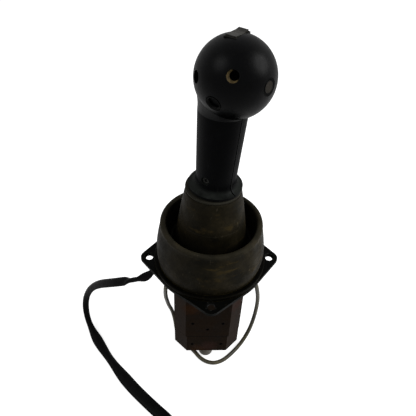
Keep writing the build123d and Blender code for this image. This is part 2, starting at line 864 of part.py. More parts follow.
def push_switch(way, hole_r, cap_r, cap_sink):
    """Round switch body that fills its hole in the ball, with a well for the cap and a stem bore."""
    level = facing(*way)
    well_floor = ball_r - cap_sink - cap_t - button_travel - gap
    with BuildPart() as switch:
        with BuildSketch(level.offset(ball_r - barrel_sink)):
            Circle(hole_r - slip)
        extrude(amount=-switch_len)
        with BuildSketch(level.offset(ball_r)):
            Circle(cap_r + gap)
        extrude(amount=well_floor - ball_r, mode=Mode.SUBTRACT)
        with BuildSketch(level.offset(well_floor)):
            Circle(stem_r + slip)
        extrude(amount=-stem_len, mode=Mode.SUBTRACT)
    return switch


def push_cap(way, cap_r, cap_sink):
    """Flat cap and stem that travel along the switch's axis."""
    level = facing(*way)
    with BuildPart() as cap:
        with BuildSketch(level.offset(ball_r - cap_sink)):
            Circle(cap_r)
        extrude(amount=-cap_t)
        chamfer(cap.edges().sort_by(Axis(ball_centre, level.z_dir))[-1], 0.3)
        with BuildSketch(level.offset(ball_r - cap_sink - cap_t)):
            Circle(stem_r)
        extrude(amount=-stem_len)
    return cap


side_switch = push_switch(button_right, side_hole_r, side_cap_r, side_cap_sink)
side_switch.part.label = "side_switch"
export_step(side_switch.part, "parts/side_switch.step")

side_button = push_cap(button_right, side_cap_r, side_cap_sink)
side_button.part.label = "side_button"
export_step(side_button.part, "parts/side_button.step")

low_switch = push_switch(button_low, low_hole_r, low_cap_r, low_cap_sink)
low_switch.part.label = "low_switch"
export_step(low_switch.part, "parts/low_switch.step")

low_button = push_cap(button_low, low_cap_r, low_cap_sink)
low_button.part.label = "low_button"
export_step(low_button.part, "parts/low_button.step")

# ================================================================ rocker switch on top of the ball
well_w = rocker_w - 2 * rocker_wall
well_l = rocker_l - 2 * rocker_wall
paddle_w = well_w - 2 * gap
rocker_side_plane = Plane(rocker_crown, x_dir=-front, z_dir=seam)
half_l = rocker_paddle_l / 2

with BuildPart() as rocker_housing:
    with BuildSketch(rocker_level.offset(rocker_rise)):
        RectangleRounded(rocker_w, rocker_l, rocker_wall)
    extrude(amount=-rocker_depth)
    with BuildSketch(rocker_level.offset(rocker_rise)):
        Rectangle(well_w, well_l)
    extrude(amount=-rocker_well, mode=Mode.SUBTRACT)
    with BuildSketch(rocker_side_plane.offset(-rocker_w)):
        with Locations((0, -rocker_pin_drop)):
            Circle(rocker_pin_r)
    extrude(amount=2 * rocker_w, mode=Mode.SUBTRACT)
rocker_housing.part.label = "rocker_housing"
export_step(rocker_housing.part, "parts/rocker_housing.step")

with BuildPart() as rocker_paddle:
    with BuildSketch(rocker_side_plane.offset(-paddle_w / 2)):
        with BuildLine():
            Polyline(
                (-half_l, paddle_front_top),
                (-half_l, -paddle_drop),
                (half_l, -paddle_drop),
                (half_l, paddle_back_top),
                (0, paddle_waist_top),
                close=True,
            )
        make_face()
        with Locations((0, -rocker_pin_drop)):
            Circle(rocker_pin_r + slip, mode=Mode.SUBTRACT)
    extrude(amount=paddle_w)
rocker_paddle.part.label = "rocker_paddle"
export_step(rocker_paddle.part, "parts/rocker_paddle.step")

with BuildPart() as rocker_pin:
    with BuildSketch(rocker_side_plane.offset(-rocker_w / 2)):
        with Locations((0, -rocker_pin_drop)):
            Circle(rocker_pin_r)
    extrude(amount=rocker_w)
rocker_pin.part.label = "rocker_pin"
export_step(rocker_pin.part, "parts/rocker_pin.step")

# ================================================================ rubber boot and its clamp ring
with BuildPart() as rubber_boot:
    with BuildSketch(Plane.XZ):
        with BuildLine():
            wall = Spline(
                (boot_foot_in + boot_t / 2, flange_t + boot_foot_t / 2),
                (boot_wall_r, boot_wall_z),
                (boot_wall_r - boot_wall_lean, boot_wall_mid_z),
                (boot_rim_r + boot_roll, boot_rim_z),
                tangents=((0.1, 1), (-0.12, 1)),
            )
            rim = ThreePointArc(
                (boot_rim_r + boot_roll, boot_rim_z),
                (boot_rim_r, boot_rim_z + boot_roll),
                (boot_rim_r - boot_roll, boot_rim_z),
            )
            Line((boot_rim_r - boot_roll, boot_rim_z), (trough_r + trough_roll, trough_z))
            ThreePointArc(
                (trough_r + trough_roll, trough_z),
                (trough_r, trough_z - trough_roll),
                (trough_r - trough_roll, trough_z),
            )
            Spline(
                (trough_r - trough_roll, trough_z),
                cone_low,
                cone_mid,
                (cone_top_r, cone_top_z),
                tangents=((-0.1, 1), (-0.13, 1)),
            )
        trace(line_width=boot_t)
        with Locations(((boot_foot_in + boot_foot_r) / 2, flange_t + boot_foot_t / 2)):
            Rectangle(boot_foot_r - boot_foot_in, boot_foot_t)
        with Locations(((boot_lip_in + boot_lip_r) / 2, boot_lip_top - boot_lip_t / 2)):
            Rectangle(boot_lip_r - boot_lip_in, boot_lip_t)
    revolve(axis=Axis.Z)
rubber_boot.part.label = "rubber_boot"
export_step(rubber_boot.part, "parts/rubber_boot.step")

with BuildPart() as clamp_ring:
    with BuildSketch(Plane.XY.offset(flange_t)):
        Circle(ring_r)
        Circle(boot_foot_r, mode=Mode.SUBTRACT)
    extrude(amount=boot_foot_t)
    with BuildSketch(Plane.XY.offset(flange_t + boot_foot_t)):
        Circle(ring_r)
        Circle(ring_in, mode=Mode.SUBTRACT)
    extrude(amount=ring_lip_t)
    top_outer = clamp_ring.edges().group_by(Axis.Z)[-1].sort_by(SortBy.RADIUS)[-1]
    fillet(top_outer, 1.0)
clamp_ring.part.label = "clamp_ring"
export_step(clamp_ring.part, "parts/clamp_ring.step")

# ================================================================ port fittings
back_port = Plane((p_port_x, body_w / 2, p_port_z), z_dir=(0, 1, 0))
port_planes = [Plane((x, y, bottom_z), z_dir=(0, 0, -1)) for x, y in bottom_ports] + [back_port]


def fitting(face):
    """Straight stud coupling screwed into a port whose mouth lies on face."""
    with BuildPart() as coupling:
        with BuildSketch(face):
            Circle(fitting_thread_r)
        extrude(amount=-fitting_thread_l)
        with BuildSketch(face):
            Circle(fitting_thread_r)
        extrude(amount=washer_t)
        with BuildSketch(face.offset(washer_t)):
            RegularPolygon(fitting_af / 2, 6, major_radius=False)
        extrude(amount=fitting_hex_t)
        with BuildSketch(face.offset(washer_t)):
            Circle(nipple_r)
        extrude(amount=fitting_drop - washer_t)
        fillet(coupling.edges().sort_by(Axis(face.origin, face.z_dir))[-1], nipple_round)
        with BuildSketch(face.offset(fitting_drop)):
            Circle(gallery_r)
        extrude(amount=-fitting_drop - fitting_thread_l, mode=Mode.SUBTRACT)
    return coupling.part


coupling_list = [fitting(face) for face in port_planes]

with BuildPart() as port_fittings:
    add(coupling_list)
port_fittings.part.label = "port_fittings"
export_step(port_fittings.part, "parts/port_fittings.step")

with BuildPart() as fitting_washers:
    with BuildSketch(*port_planes):
        Circle(washer_r)
        Circle(fitting_thread_r, mode=Mode.SUBTRACT)
    extrude(amount=washer_t)
fitting_washers.part.label = "fitting_washers"
export_step(fitting_washers.part, "parts/fitting_washers.step")

# ================================================================ cable and its grommets
with BuildPart() as cable_grommets:
    with BuildSketch():
        with Locations(*grommet_spots):
            Circle(grommet_r)
    extrude(amount=-grommet_len)
    chamfer(cable_grommets.edges().group_by(Axis.Z)[0], 1.2)
    with BuildSketch():
        with Locations(*grommet_spots):
            Circle(grommet_groove_r)
    extrude(amount=flange_t)
    with BuildSketch(Plane.XY.offset(flange_t)):
        with Locations(*grommet_spots):
            Circle(grommet_lip_r)
    extrude(amount=grommet_lip_t)
cable_grommets.part.label = "cable_grommets"
export_step(cable_grommets.part, "parts/cable_grommets.step")


def corner_radii(route):
    """Arc radius at each corner: 0.45 of the shorter run over the tangent of half the turn."""
    points = [Vector(*point) for point in route]
    radii = []
    for before, here, after in zip(points, points[1:], points[2:]):
        shorter = min((here - before).length, (after - here).length)
        turn = (here - before).get_angle(after - here)
        radii.append(0.45 * shorter / tan(radians(turn) / 2))
    return radii


def cord(route, diameter):
    """Round cord of straight runs joined by tangent arcs."""
    with BuildPart() as made:
        with BuildLine() as path:
            FilletPolyline(*route, radius=corner_radii(route))
        with BuildSketch(path.line ^ 0):
            Circle(diameter / 2)
        sweep()
    length = path.wires()[0].length
    print(f"cord {diameter:.0f} mm thick, {length:.0f} mm long, radii", end=" ")
    print([round(radius) for radius in corner_radii(route)])
    return made


grey_cable = cord(cable_route, cable_d)
grey_cable.part.label = "grey_cable"
export_step(grey_cable.part, "parts/grey_cable.step")

# ================================================================ harness, its outlet and its plug
with BuildPart() as harness_outlet:
    with BuildSketch():
        with Locations((-outlet_middle, outlet_y - 1)):
            RectangleRounded(outlet_far - outlet_near, outlet_w, 2)
    extrude(amount=-outlet_h)
    with BuildSketch():
        with Locations((-outlet_middle, outlet_y)):
            Circle(outlet_groove_r)
    extrude(amount=flange_t)
    with BuildSketch(Plane.XY.offset(flange_t)):
        with Locations((-outlet_middle, outlet_y)):
            Circle(outlet_lip_r)
    extrude(amount=grommet_lip_t)
    with BuildSketch(harness_start):
        Circle(harness_d / 2 + slip)
    extrude(amount=outlet_far - outlet_near, mode=Mode.SUBTRACT)
harness_outlet.part.label = "harness_outlet"
export_step(harness_outlet.part, "parts/harness_outlet.step")

harness = cord(harness_route, harness_d)
harness.part.label = "harness"
export_step(harness.part, "parts/harness.step")

cord_end = Vector(*harness_route[-1])
plug_way = (cord_end - Vector(*harness_route[-2])).normalized()
plug_back = Plane(cord_end, x_dir=plug_way.cross(Vector(0, 0, 1)), z_dir=plug_way)
contact_spots = GridLocations(5, 4, 3, 2)

with BuildPart() as harness_plug:
    with BuildSketch(plug_back):
        RectangleRounded(plug_w, plug_h, 1.5)
    extrude(amount=plug_len)
    with BuildSketch(plug_back.offset(plug_len)):
        RectangleRounded(plug_w - 2 * plug_wall, plug_h - 2 * plug_wall, 0.8)
    extrude(amount=-plug_well, mode=Mode.SUBTRACT)
harness_plug.part.label = "harness_plug"
export_step(harness_plug.part, "parts/harness_plug.step")

with BuildPart() as plug_contacts:
    with BuildSketch(plug_back.offset(plug_len - plug_well)):
        with contact_spots:
            Circle(contact_r)
    extrude(amount=plug_well - plug_wall)
plug_contacts.part.label = "plug_contacts"
export_step(plug_contacts.part, "parts/plug_contacts.step")
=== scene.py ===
"""Looks of a hydraulic pilot joystick valve: materials, soft boot, cable, harness, light and camera."""

import bpy
from math import cos, pi, radians, sin
from mathutils import Matrix, Vector, noise


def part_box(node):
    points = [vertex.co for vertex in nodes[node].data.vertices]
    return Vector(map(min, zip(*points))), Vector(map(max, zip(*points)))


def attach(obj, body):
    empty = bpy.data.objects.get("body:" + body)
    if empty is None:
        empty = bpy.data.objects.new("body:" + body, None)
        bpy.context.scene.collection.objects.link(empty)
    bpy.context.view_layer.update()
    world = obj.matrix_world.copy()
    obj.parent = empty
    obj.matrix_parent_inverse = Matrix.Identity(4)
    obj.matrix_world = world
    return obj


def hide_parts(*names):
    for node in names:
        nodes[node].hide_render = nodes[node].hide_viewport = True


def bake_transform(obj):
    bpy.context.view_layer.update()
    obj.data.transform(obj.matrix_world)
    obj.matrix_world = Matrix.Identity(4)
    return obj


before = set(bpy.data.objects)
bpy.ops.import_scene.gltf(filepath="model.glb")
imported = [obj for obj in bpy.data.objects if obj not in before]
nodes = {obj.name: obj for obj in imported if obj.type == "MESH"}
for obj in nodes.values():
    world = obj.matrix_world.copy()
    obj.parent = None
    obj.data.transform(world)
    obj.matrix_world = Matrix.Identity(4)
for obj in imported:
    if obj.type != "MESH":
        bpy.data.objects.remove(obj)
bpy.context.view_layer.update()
sides = ("right", "back", "left", "front")
moving_parts = ("plunger", "spool", "return_spring", "metering_spring")

# ------------------------------------------------------------------ places in the CAD frame, in metres
mm = 0.001
grip_origin = Vector((0, 0, 0.060))
rake = radians(2)
turn = radians(-35)
grip_up = Vector((sin(rake), 0, cos(rake)))
grip_x = Vector((cos(rake), 0, -sin(rake)))
grip_y = Vector((0, 1, 0))
grip_front = (grip_x * sin(turn) - grip_y * cos(turn)).normalized()
grip_seam = grip_up.cross(grip_front).normalized()
seam_turn = radians(-13)                    # the parting line shows this far round from the split
seam_normal = Matrix.Rotation(seam_turn, 3, grip_up) @ grip_front
ball_centre = Vector((0.010442, -0.004015, 0.194718))
floor_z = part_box("port_fittings")[0].z
split_z = 0.060                             # where the boot's cone ends and its neck begins
rim_sag = 0.0020                            # how far the boot's rim hangs at the front
body_face_y = -0.0353                       # front face of the body and the block
bolt_from_axis = 0.060104                   # from the lever's axis to each bolt hole
rocker_at = Vector((0.009556, -0.000894, 0))
joint_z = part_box("valve_body")[0].z


# ------------------------------------------------------------------ materials
def new_material(name, rough, metal=0.0, **settings):
    """Material with a Principled shader; settings are the names of its other inputs, with _ for a space."""
    made = bpy.data.materials.new(name)
    made.use_nodes = True
    shader = made.node_tree.nodes["Principled BSDF"]
    shader.inputs["Roughness"].default_value = rough
    shader.inputs["Metallic"].default_value = metal
    for key, value in settings.items():
        shader.inputs[key.replace("_", " ")].default_value = value
    return made, made.node_tree, shader


def node(tree, kind, links=(), **values):
    """Adds a node; values set its properties or inputs, links join its inputs to other sockets."""
    made = tree.nodes.new(kind)
    for key, value in values.items():
        if hasattr(made, key):
            setattr(made, key, value)
        else:
            made.inputs[key.replace("_", " ")].default_value = value
    for key, socket in dict(links).items():
        tree.links.new(socket, made.inputs[key])
    return made


def object_at(tree):
    """Object coordinates, which are the CAD frame in metres."""
    return node(tree, "ShaderNodeTexCoord").outputs["Object"]


def parts_of(tree, vector):
    """The X, Y and Z outputs of a vector."""
    return node(tree, "ShaderNodeSeparateXYZ", {"Vector": vector}).outputs


def along(tree, way):
    """How far the surface lies along a direction, in metres."""
    made = node(tree, "ShaderNodeVectorMath", {0: object_at(tree)}, operation="DOT_PRODUCT")
    made.inputs[1].default_value = way
    return made.outputs["Value"]


def away_from(tree, spot):
    """How far the surface lies from a spot, in metres."""
    made = node(tree, "ShaderNodeVectorMath", {0: object_at(tree)}, operation="DISTANCE")
    made.inputs[1].default_value = spot
    return made.outputs["Value"]


def place(tree, stretch=(1, 1, 1), shift=(0, 0, 0)):
    """Object coordinates in metres, stretched and shifted."""
    moved = node(tree, "ShaderNodeMapping", {"Vector": object_at(tree)}, Scale=stretch, Location=shift)
    return moved.outputs["Vector"]


def mottle(tree, size, detail=4.0, rough=0.6, stretch=(1, 1, 1), shift=(0, 0, 0)):
    """Noise whose patches are about size metres across, from 0 to 1."""
    where = place(tree, stretch, shift)
    made = node(tree, "ShaderNodeTexNoise", {"Vector": where}, Scale=1 / size, Detail=detail, Roughness=rough)
    return made.outputs["Fac"]


def ramp(tree, factor, *stops):
    """Colour ramp; each stop is (place, grey value or colour)."""
    made = node(tree, "ShaderNodeValToRGB", {"Fac": factor})
    band = made.color_ramp
    while len(band.elements) < len(stops):
        band.elements.new(0.5)
    for element, (at, value) in zip(band.elements, stops):
        element.position = at
        element.color = (value, value, value, 1) if isinstance(value, (int, float)) else (*value, 1)
    return made.outputs["Color"]


def mix(tree, factor, first, second, how="MIX"):
    """Mixes two colours; each is a socket or a colour, factor a socket or a number."""
    made = tree.nodes.new("ShaderNodeMix")
    made.data_type = "RGBA"
    made.blend_type = how
    for socket, value in ((made.inputs[0], factor), (made.inputs[6], first), (made.inputs[7], second)):
        if isinstance(value, bpy.types.NodeSocket):
            tree.links.new(value, socket)
        elif isinstance(value, (int, float)):
            socket.default_value = value
        else:
            socket.default_value = (*value, 1)
    return made.outputs[2]


def calc(tree, how, first, second=0.0):
    """One math node on sockets or numbers."""
    made = node(tree, "ShaderNodeMath", operation=how)
    for socket, value in zip(made.inputs, (first, second)):
        if isinstance(value, bpy.types.NodeSocket):
            tree.links.new(value, socket)
        else:
            socket.default_value = value
    return made.outputs[0]


def product(tree, first, *others):
    """Sockets or numbers multiplied in turn."""
    for other in others:
        first = calc(tree, "MULTIPLY", first, other)
    return first


def edges(tree, radius):
    """1 near the edges of a form and 0 on its faces."""
    soft = node(tree, "ShaderNodeBevel", Radius=radius, samples=6).outputs["Normal"]
    true = node(tree, "ShaderNodeNewGeometry").outputs["Normal"]
    same = node(tree, "ShaderNodeVectorMath", {0: soft, 1: true}, operation="DOT_PRODUCT").outputs["Value"]
    return ramp(tree, same, (0.75, 1.0), (0.985, 0.0))


def relief(tree, shader, height, depth, base=None):
    """Bump of the given depth in metres."""
    made = node(tree, "ShaderNodeBump", {"Height": height}, Distance=depth)
    if base is not None:
        tree.links.new(base, made.inputs["Normal"])
    tree.links.new(made.outputs["Normal"], shader.inputs["Normal"])
    return made.outputs["Normal"]


def finish_with(tree, shader, colour, rough=None):
    """Links the colour, and the roughness where there is one."""
    tree.links.new(colour, shader.inputs["Base Color"])
    if rough is not None:
        tree.links.new(rough, shader.inputs["Roughness"])


def dress(material, *names):
    """Gives CAD nodes a material."""
    for name in names:
        mesh_object = nodes[name]
        mesh_object.data.materials.clear()
        mesh_object.data.materials.append(material)


def fading_gloss(tree, shader, mask=None):
    """Lets the gloss of a dull dark surface fade where it is seen at a flat angle, and where mask is 0."""
    slanting = node(tree, "ShaderNodeLayerWeight").outputs["Facing"]
    gloss = shader.inputs["Specular IOR Level"]
    level = product(tree, ramp(tree, slanting, (0.45, 1.0), (0.90, 0.12)), gloss.default_value)
    if mask is not None:
        level = product(tree, level, mask)
    tree.links.new(level, gloss)


def plain(name, colour, rough, metal=0.0, gloss=0.5, patch=0.006, spread=0.35, grain=0.0006, depth=0.00003):
    """Simple finish with mottled colour, uneven gloss and fine grain."""
    made, tree, shader = new_material(name, rough, metal, Specular_IOR_Level=gloss)
    dark = tuple(c * (1 - spread) for c in colour)
    light = tuple(min(1.0, c * (1 + spread)) for c in colour)
    patches = mottle(tree, patch, 6)
    finish_with(
        tree,
        shader,
        ramp(tree, patches, (0.3, dark), (0.7, light)),
        ramp(tree, patches, (0.3, rough * 0.8), (0.7, min(1.0, rough * 1.2))),
    )
    relief(tree, shader, mottle(tree, grain, 2), depth)
    return made


def grip_plastic(name, gloss, rough_from, rough_to, seam=False):
    """Black satin moulding with hand polish, fine scuffs and a little dust; seam draws the parting line, with
    a painted highlight along its lip and a painted sheen on the faces that look up.
    """
    made, tree, shader = new_material(name, 0.30, Specular_IOR_Level=gloss)
    patches = mottle(tree, 0.016, 6)
    colour = ramp(tree, patches, (0.35, (0.0002, 0.0002, 0.0003)), (0.7, (0.0006, 0.0007, 0.0009)))
    dust = ramp(tree, mottle(tree, 0.005, 8, 0.75, shift=(0.3, 0, 0)), (0.56, 0.0), (0.80, 0.5))
    colour = mix(tree, dust, colour, (0.0040, 0.0038, 0.0034))
    greasy = mottle(tree, 0.011, 9, 0.72, stretch=(1, 1, 0.6), shift=(0.1, 0.4, 0.2))
    grease = ramp(tree, greasy, (0.54, 0.0), (0.72, 0.7))
    colour = mix(tree, grease, colour, (0.0026, 0.0028, 0.0032))
    scuffs = mottle(tree, 0.0016, 5, 0.7, stretch=(1, 1, 0.16), shift=(0.2, 0.1, 0))
    colour = mix(tree, ramp(tree, scuffs, (0.62, 0.0), (0.70, 0.6)), colour, (0.0060, 0.0060, 0.0062))
    rubs = mottle(tree, 0.0045, 7, 0.75, stretch=(1.2, 1, 0.5), shift=(0.6, 0.3, 0.1))
    rough = ramp(tree, rubs, (0.35, rough_from), (0.65, rough_to))
    rough = calc(tree, "ADD", rough, product(tree, grease, 0.06))
    fine = relief(tree, shader, mottle(tree, 0.0009, 3), 0.00003)
    keep = None
    if seam:
        off = calc(tree, "SUBTRACT", along(tree, seam_normal), grip_origin.dot(seam_normal))
        off = product(tree, off, 1 / mm)
        line = ramp(tree, calc(tree, "ABSOLUTE", off), (0.42, 1.0), (0.58, 0.0))
        lip_at = -0.95                      # mm from the line to the lip that catches light
        from_lip = calc(tree, "ABSOLUTE", calc(tree, "SUBTRACT", off, lip_at))
        lit = ramp(tree, from_lip, (0.30, 1.0), (0.60, 0.0))
        flat = parts_of(tree, node(tree, "ShaderNodeNewGeometry").outputs["Normal"])["Z"]
        # Painted sheen: faces that look up are lightened, in patches, as if they caught light from above.
        top_sheen = product(
            tree,
            ramp(tree, flat, (0.25, 0.0), (0.75, 1.0)),
            ramp(tree, patches, (0.40, 0.45), (0.60, 1.0)),
        )
        colour = mix(tree, top_sheen, colour, (0.0120, 0.0135, 0.0120))
        colour = mix(tree, product(tree, lit, 0.5), colour, (0.0150, 0.0155, 0.0155))
        colour = mix(tree, line, colour, (0.0, 0.0, 0.0))
        keep = calc(tree, "SUBTRACT", 1.0, line)
        relief(tree, shader, keep, 0.0004, fine)
    fading_gloss(tree, shader, keep)
    finish_with(tree, shader, colour, rough)
    return made


def boot_rubber():
    """Weathered olive-brown rubber with dark stains, scratches and smudges, lighter along the rim's bead;
    painted shade darkens the low inside of the cup, the foot and the left side.
    """
    made, tree, shader = new_material("boot_rubber", 0.6, Specular_IOR_Level=0.035)
    base = ramp(
        tree,
        mottle(tree, 0.022, 9, 0.62),
        (0.34, (0.0018, 0.0016, 0.0008)),
        (0.46, (0.0058, 0.0047, 0.0020)),
        (0.60, (0.0125, 0.0098, 0.0046)),
        (0.74, (0.0230, 0.0190, 0.0105)),
    )
    smears = mottle(tree, 0.012, 8, 0.7, stretch=(0.5, 0.5, 1.6), shift=(0.05, 0.02, 0.1))
    base = mix(tree, ramp(tree, smears, (0.56, 0.0), (0.66, 0.8)), base, (0.0330, 0.0230, 0.0075))
    stains = mottle(tree, 0.018, 9, 0.68, shift=(0.4, 0.1, 0.2))
    base = mix(tree, ramp(tree, stains, (0.50, 0.0), (0.72, 0.75)), base, (0.0026, 0.0024, 0.0014))
    scratch = mottle(tree, 0.0022, 4, 0.6, stretch=(0.3, 0.3, 1.4), shift=(0.7, 0.2, 0))
    base = mix(tree, ramp(tree, scratch, (0.66, 0.0), (0.72, 0.6)), base, (0.0480, 0.0370, 0.0200))
    hair = mottle(tree, 0.0035, 3, 0.5, stretch=(1.6, 1.6, 0.22), shift=(0.3, 0.8, 0.5))
    base = mix(tree, ramp(tree, hair, (0.68, 0.0), (0.72, 0.55)), base, (0.0600, 0.0520, 0.0330))
    parts = parts_of(tree, object_at(tree))
    height = product(tree, parts["Z"], 10)  # in tenths of a metre, to fill the ramps
    squares = calc(tree, "ADD", calc(tree, "POWER", parts["X"], 2), calc(tree, "POWER", parts["Y"], 2))
    away = calc(tree, "SQRT", squares)
    inside = calc(tree, "LESS_THAN", away, 0.0440)
    # Painted shade low inside the cup, over the trough and the lower cone.
    cup_shade = product(tree, ramp(tree, height, (0.38, 0.85), (0.60, 0.0)), inside)
    base = mix(tree, cup_shade, base, (0.0009, 0.0008, 0.0005))
    # Painted shadow along the foot of the cup, under its bulge.
    base = mix(tree, ramp(tree, height, (0.04, 0.8), (0.11, 0.0)), base, (0.0016, 0.0014, 0.0008))
    base = mix(tree, ramp(tree, height, (0.922, 0.0), (0.928, 0.8)), base, (0.0230, 0.0220, 0.0165))
    # Painted shade: the left side is darkened as if less lit.
    side_run = calc(tree, "ADD", product(tree, parts["X"], 10), 0.5)
    left_shade = ramp(tree, side_run, (0.05, 0.65), (0.55, 0.0))
    base = mix(tree, left_shade, base, (0.0024, 0.0020, 0.0012))
    below_top = calc(tree, "SUBTRACT", 1.0, ramp(tree, height, (0.56, 0.0), (0.57, 1.0)))
    outside = calc(tree, "GREATER_THAN", away, 0.0425)
    # The outer face of the rim's bead is made lighter, in patches.
    bead = product(tree, ramp(tree, height, (0.495, 0.0), (0.520, 0.5)), below_top, outside)
    lighter_bead = product(tree, bead, ramp(tree, smears, (0.35, 0.3), (0.60, 1.0)))
    base = mix(tree, lighter_bead, base, (0.0270, 0.0240, 0.0160))
    from_split = calc(tree, "ABSOLUTE", calc(tree, "SUBTRACT", height, 10 * split_z))
    rubbed = product(tree, edges(tree, 0.0020), ramp(tree, from_split, (0.02, 0.0), (0.06, 0.5)))
    base = mix(tree, rubbed, base, (0.0330, 0.0300, 0.0215))
    rough = ramp(tree, stains, (0.35, 0.50), (0.65, 0.72))
    finish_with(tree, shader, base, rough)
    pits = relief(tree, shader, mottle(tree, 0.0012, 6, 0.7), 0.00012)
    relief(tree, shader, mottle(tree, 0.010, 4), 0.0006, pits)
    return made


def primer(name, rust_at, smudge_at, plugs):
    """Red-brown primer over cast iron; the chamfers get painted light, a lighter and greyer tone than the
    front, with rust bleeding round two places.
    """
    made, tree, shader = new_material(name, 0.62, Specular_IOR_Level=0.012)
    patches = mottle(tree, 0.018, 9, 0.65)
    brown = ramp(
        tree,
        patches,
        (0.32, (0.0040, 0.0024, 0.0013)),
        (0.52, (0.0082, 0.0046, 0.0023)),
        (0.72, (0.0130, 0.0078, 0.0046)),
    )
    grey = ramp(
        tree,
        patches,
        (0.32, (0.0110, 0.0078, 0.0060)),
        (0.56, (0.0185, 0.0132, 0.0104)),
        (0.74, (0.0265, 0.0195, 0.0160)),
    )
    normal = parts_of(tree, node(tree, "ShaderNodeNewGeometry").outputs["Normal"])
    # Painted light: the slanted chamfers get a lighter, greyer copy of the primer, as if lit from the sides.
    slant = product(tree, normal["X"], normal["Y"])
    chamfer = ramp(tree, calc(tree, "ABSOLUTE", slant), (0.15, 0.0), (0.40, 1.0))
    colour = mix(tree, chamfer, brown, grey)
    speckle = mottle(tree, 0.0020, 7, 0.7)
    colour = mix(tree, ramp(tree, speckle, (0.58, 0.0), (0.70, 0.5)), colour, (0.0060, 0.0040, 0.0030))
    colour = mix(tree, ramp(tree, speckle, (0.30, 0.5), (0.40, 0.0)), colour, (0.0230, 0.0140, 0.0090))
    for spot, reach, tint, strength in (
        (rust_at, 0.0095, (0.0270, 0.0105, 0.0034), 0.6),
        (smudge_at, 0.009, (0.0260, 0.0130, 0.0100), 0.7),
    ):
        uneven = product(tree, calc(tree, "SUBTRACT", mottle(tree, 0.0035, 8, 0.75), 0.5), reach * 2.6)
        near = calc(tree, "DIVIDE", calc(tree, "ADD", away_from(tree, spot), uneven), 2 * reach)
        colour = mix(tree, ramp(tree, near, (0.25, strength), (0.62, 0.0)), colour, tint)
    colour = mix(tree, product(tree, edges(tree, 0.0006), 0.5), colour, (0.0330, 0.0250, 0.0210))
    for sideways, level in plugs:
        away = away_from(tree, (sideways, body_face_y, level))
        hole = ramp(tree, product(tree, away, 200), (0.32, 1.0), (0.44, 0.0))
        colour = mix(tree, hole, colour, (0.0003, 0.0002, 0.0002))
    height = parts_of(tree, object_at(tree))["Z"]
    off = calc(tree, "ABSOLUTE", calc(tree, "SUBTRACT", height, joint_z - 0.0002))
    joint = ramp(tree, product(tree, off, 1 / mm), (0.35, 0.95), (0.75, 0.0))
    colour = mix(tree, joint, colour, (0.0012, 0.0008, 0.0005))
    finish_with(tree, shader, colour, ramp(tree, patches, (0.3, 0.50), (0.7, 0.75)))
    coarse = relief(tree, shader, mottle(tree, 0.0018, 6, 0.7), 0.00016)
    relief(tree, shader, mottle(tree, 0.012, 3), 0.0003, coarse)
    return made


def worn_paint(name, colour, bare, wear=0.7, radius=0.0007, rough=0.5, gloss=0.08, holes_at=None):
    """Dark paint that is rubbed through to metal along its edges and flecked with dirt; holes_at adds painted
    shade in the bolt holes, with rubbed chips round them.
    """
    made, tree, shader = new_material(name, rough, Specular_IOR_Level=gloss)
    dark = tuple(c * 0.55 for c in colour)
    base = ramp(tree, mottle(tree, 0.010, 8, 0.65), (0.35, dark), (0.70, colour))
    dirt = ramp(tree, mottle(tree, 0.004, 7, 0.7, shift=(0.2, 0.5, 0)), (0.60, 0.0), (0.74, 0.6))
    base = mix(tree, dirt, base, (0.0150, 0.0125, 0.0080))
    patchy = ramp(tree, mottle(tree, 0.006, 6, 0.7), (0.35, 0.2), (0.60, 1.0))
    rubbed = product(tree, edges(tree, radius), patchy, wear)
    base = mix(tree, rubbed, base, bare)
    if holes_at is not None:
        parts = parts_of(tree, object_at(tree))
        sizes = [calc(tree, "ABSOLUTE", parts[axis]) for axis in "XY"]
        past = calc(tree, "SUBTRACT", calc(tree, "MAXIMUM", *sizes), holes_at)
        across = calc(tree, "MINIMUM", *sizes)
        squares = calc(tree, "ADD", product(tree, past, past), product(tree, across, across))
        away = product(tree, calc(tree, "SQRT", squares), 1 / mm)
        # Painted shade: the bolt holes' counterbores are darkened to near black.
        ring = calc(tree, "LESS_THAN", away, 4.9)
        base = mix(tree, product(tree, ring, 0.9), base, (0.0006, 0.0006, 0.0005))
        chips = ramp(tree, mottle(tree, 0.0030, 5, 0.7, shift=(0.1, 0.9, 0)), (0.56, 0.0), (0.62, 1.0))
        rub = product(tree, chips, calc(tree, "LESS_THAN", away, 5.6), calc(tree, "GREATER_THAN", away, 4.2))
        base = mix(tree, product(tree, rub, 0.6), base, (0.045, 0.045, 0.041))
    uneven = ramp(tree, mottle(tree, 0.008, 5), (0.3, rough * 0.75), (0.7, rough * 1.2))
    finish_with(tree, shader, base, uneven)
    relief(tree, shader, mottle(tree, 0.0014, 5, 0.7), 0.00008)
    return made


def add_object(name, data):
    """Object on the scene's own collection."""
    made = bpy.data.objects.new(name, data)
    bpy.context.scene.collection.objects.link(made)
    return made


def add_mesh(name, points, faces, smooth=False):
    """Mesh object from points and faces."""
    mesh = bpy.data.meshes.new(name)
    mesh.from_pydata(points, [], faces)
    for face in mesh.polygons:
        face.use_smooth = smooth
    return add_object(name, mesh)


def nurbs(name, points, order, resolution):
    """Smooth open curve through the points' control polygon."""
    data = bpy.data.curves.new(name, "CURVE")
    data.dimensions = "3D"
    data.resolution_u = resolution
    spline = data.splines.new("NURBS")
    spline.points.add(len(points) - 1)
    for point, at in zip(spline.points, points):
        point.co = (*at, 1)
    spline.order_u = order
    spline.use_endpoint_u = True
    return add_object(name, data)


def read_line(curve):
    """Points along a curve, which is then deleted."""
    mesh = bpy.data.meshes.new_from_object(curve)
    line = [v.co.copy() for v in mesh.vertices]
    bpy.data.meshes.remove(mesh)
    bpy.data.objects.remove(curve)
    return line


